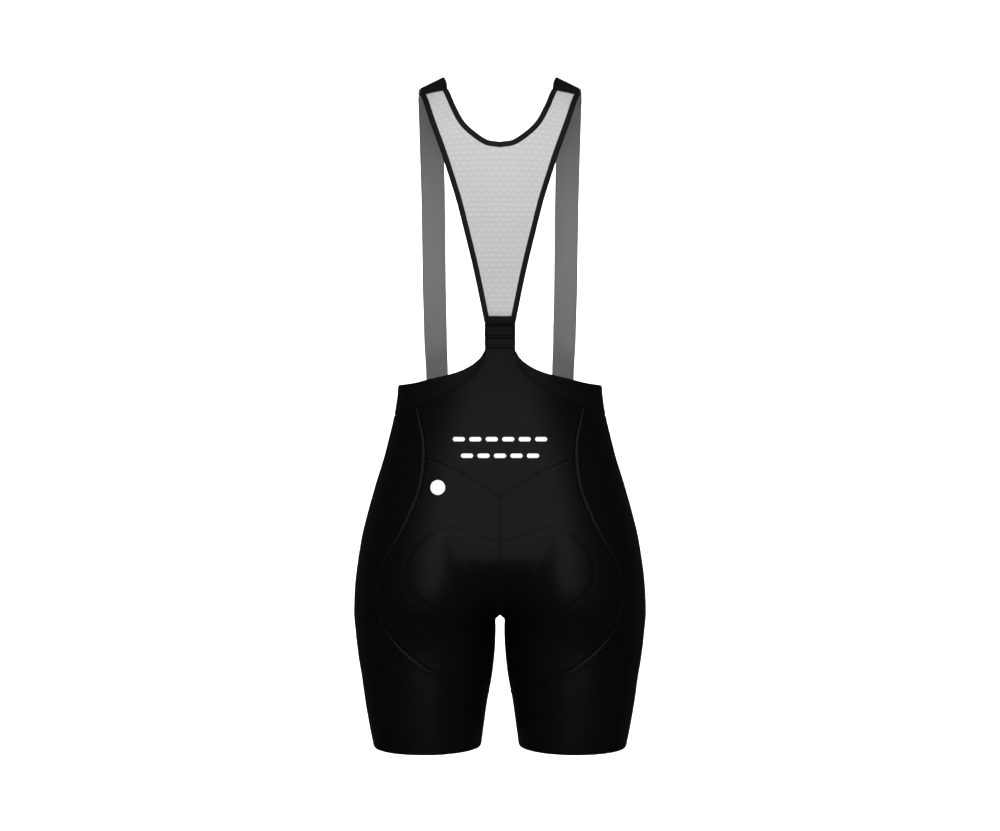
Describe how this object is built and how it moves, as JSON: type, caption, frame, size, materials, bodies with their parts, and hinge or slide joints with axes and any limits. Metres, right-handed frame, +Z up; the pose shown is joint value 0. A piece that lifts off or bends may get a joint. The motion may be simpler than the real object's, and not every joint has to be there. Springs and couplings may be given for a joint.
{
  "type": "cycling bib shorts",
  "caption": "Worn-shape bib shorts with open legs, a Y-shaped mesh back, flat shoulder straps to the front waist and a plastic back clip.",
  "frame": {"origin": "midway between the two places where the straps bear on the wearer's shoulders", "axes": "+Z up, front facing -Y, back facing +Y, the wearer's left at +X"},
  "size_m": [0.3482, 0.2355, 0.7983],
  "materials": {
    "lycra": "smooth knitted polyamide and elastane, soft sheen",
    "waistband_cloth": "flat bonded elastic cloth, matt",
    "mesh_knit": "light grey knitted mesh with small dots",
    "binding_tape": "folded knitted tape, matt",
    "strap_elastic": "woven elastic, black outside and grey inside",
    "clip_plastic": "moulded, satin",
    "reflective_print": "heat-applied film, pale silver"
  },
  "bodies": {
    "root": {"yoke_back": "lycra", "waistband_left": "waistband_cloth", "waistband_right": "waistband_cloth", "seat_left": "lycra", "seat_right": "lycra", "side_leg_left": "lycra", "side_leg_right": "lycra", "front_left": "lycra", "front_right": "lycra", "mesh_back": "mesh_knit", "neck_binding": "binding_tape", "armhole_binding_left": "binding_tape", "armhole_binding_right": "binding_tape", "strap_left": "strap_elastic", "strap_right": "strap_elastic", "clip_upper": "clip_plastic", "clip_insert": "clip_plastic", "clip_lower": "clip_plastic"}
  },
  "joints": []
}
